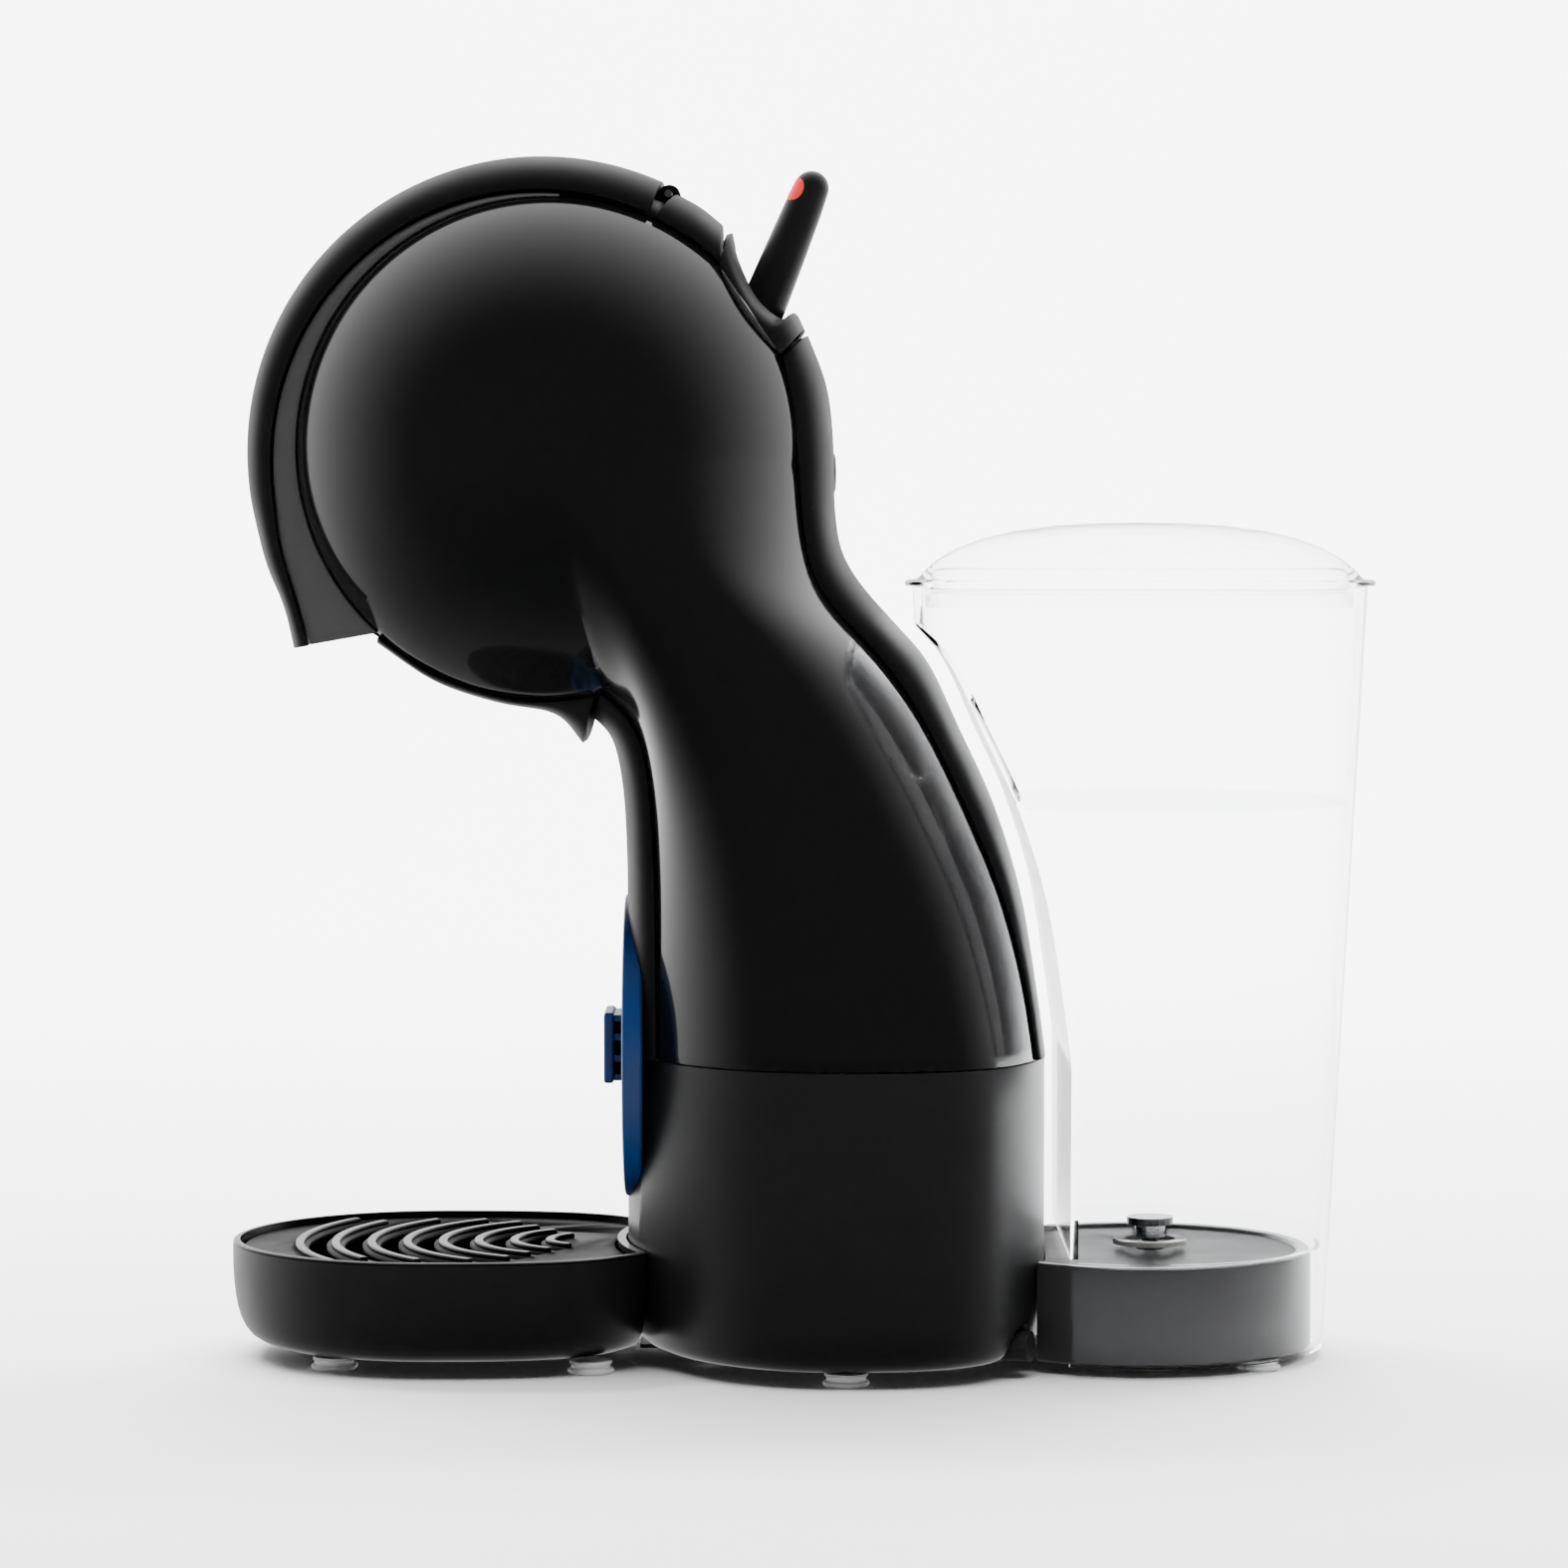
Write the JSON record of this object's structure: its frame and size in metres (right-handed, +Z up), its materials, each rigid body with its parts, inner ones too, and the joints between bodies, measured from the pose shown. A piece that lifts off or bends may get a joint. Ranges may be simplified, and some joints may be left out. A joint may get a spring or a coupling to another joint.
{
  "type": "pod coffee machine",
  "caption": "Compact pod coffee machine with a rounded head, lifting hood, mixing lever, round drip tray with grid, and a clear lift-off water tank behind.",
  "frame": {"origin": "centre of the bounding box on the surface that the feet stand on", "axes": "front faces -X, up is +Z, the lever's cold side is +Y"},
  "size_m": [0.2748, 0.136, 0.2873],
  "materials": {
    "gloss_black": "high gloss piano black moulding",
    "matte_black": "fine matte black moulding",
    "satin_black": "satin black moulding",
    "grey_plastic": "dark grey moulding",
    "blue_plastic": "matte dark blue moulding",
    "clear_plastic": "clear water tank plastic",
    "clear_rubber": "milky clear soft feet",
    "dark_rubber": "matte black rubber",
    "steel": "plain steel",
    "brass": "machined brass",
    "board_green": "coated circuit board",
    "silicone": "translucent silicone"
  },
  "bodies": {
    "body": {"side_shell_right": "gloss_black", "side_shell_left": "gloss_black", "rear_spine": "matte_black", "front_spine": "matte_black", "top_spine": "matte_black", "lever_bezel": "satin_black", "nozzle_guard": "matte_black", "base_shell": "matte_black", "base_plate": "grey_plastic", "cable_gland": "dark_rubber", "base_screw_1": "steel", "base_screw_2": "steel", "base_screw_3": "steel", "base_screw_4": "steel", "body_foot_1": "clear_rubber", "body_foot_2": "clear_rubber", "hood_pin": "steel", "head_frame": "grey_plastic", "valve_block": "brass", "pump": "steel", "pump_mount_lower": "dark_rubber", "pump_mount_upper": "dark_rubber", "heater": "steel", "control_board": "board_green", "suction_hose": "silicone", "pressure_hose": "silicone", "hot_hose": "silicone", "tool_recess": "matte_black", "tray_bracket": "grey_plastic", "tank_pedestal": "grey_plastic", "pedestal_seal": "silicone", "pedestal_foot_1": "clear_rubber", "pedestal_foot_2": "clear_rubber", "status_light": "clear_plastic"},
    "hood": {"hood_band": "matte_black", "hood_cheek_right": "satin_black", "hood_cheek_left": "satin_black"},
    "brew_group": {"brew_head": "grey_plastic", "brew_seal": "silicone", "brew_needle": "steel"},
    "holder": {"pod_holder": "matte_black"},
    "lever": {"control_lever": "matte_black", "lever_shaft": "steel"},
    "tool": {"rinsing_tool": "blue_plastic"},
    "tray": {"drip_tray": "matte_black", "tray_foot_1": "clear_rubber", "tray_foot_2": "clear_rubber", "tray_foot_3": "clear_rubber", "tray_foot_4": "clear_rubber"},
    "grid": {"drip_grid": "gloss_black"},
    "tank": {"water_tank": "clear_plastic", "tank_valve_spring": "steel"},
    "lid": {"tank_lid": "clear_plastic"},
    "valve": {"tank_valve": "grey_plastic"},
    "button": {"power_button": "satin_black"}
  },
  "joints": [
    {"name": "hood_lift", "type": "hinge", "parent": "body", "child": "hood", "pos_m": [-0.0316, 0, 0.2774], "axis": [0, 1, 0], "range_deg": [0, 45]},
    {"name": "brew_head_slide", "type": "slide", "parent": "body", "child": "brew_group", "axis": [0, 0, 1], "range_m": [0, 0.006]},
    {"name": "pod_holder_slide", "type": "slide", "parent": "body", "child": "holder", "axis": [-1, 0, 0], "range_m": [0, 0.0701]},
    {"name": "lever_swing", "type": "hinge", "parent": "body", "child": "lever", "pos_m": [-0.0135, 0, 0.242], "axis": [0.5902, 0, -0.8073], "range_deg": [-20, 20]},
    {"name": "tool_pull", "type": "slide", "parent": "body", "child": "tool", "axis": [-1, 0, 0], "range_m": [0, 0.008]},
    {"name": "tray_slide", "type": "slide", "parent": "body", "child": "tray", "axis": [-1, 0, 0], "range_m": [0, 0.04]},
    {"name": "grid_lift", "type": "slide", "parent": "tray", "child": "grid", "axis": [0, 0, 1], "range_m": [0, 0.01]},
    {"name": "tank_lift", "type": "slide", "parent": "body", "child": "tank", "axis": [0, 0, 1], "range_m": [0, 0.06]},
    {"name": "lid_lift", "type": "slide", "parent": "tank", "child": "lid", "axis": [0, 0, 1], "range_m": [0, 0.025]},
    {"name": "valve_lift", "type": "slide", "parent": "tank", "child": "valve", "axis": [0, 0, 1], "range_m": [0, 0.0018], "stiffness_N_per_m": 60, "springref_m": -0.001},
    {"name": "power_press", "type": "slide", "parent": "body", "child": "button", "axis": [-1, 0, 0], "range_m": [0, 0.0015], "stiffness_N_per_m": 400, "springref_m": -0.0005}
  ],
  "couplings": [
    {"joint": "brew_head_slide", "follows": "hood_lift", "m_per_rad": 0.0076},
    {"joint": "pod_holder_slide", "follows": "hood_lift", "m_per_rad": 0.0892}
  ]
}
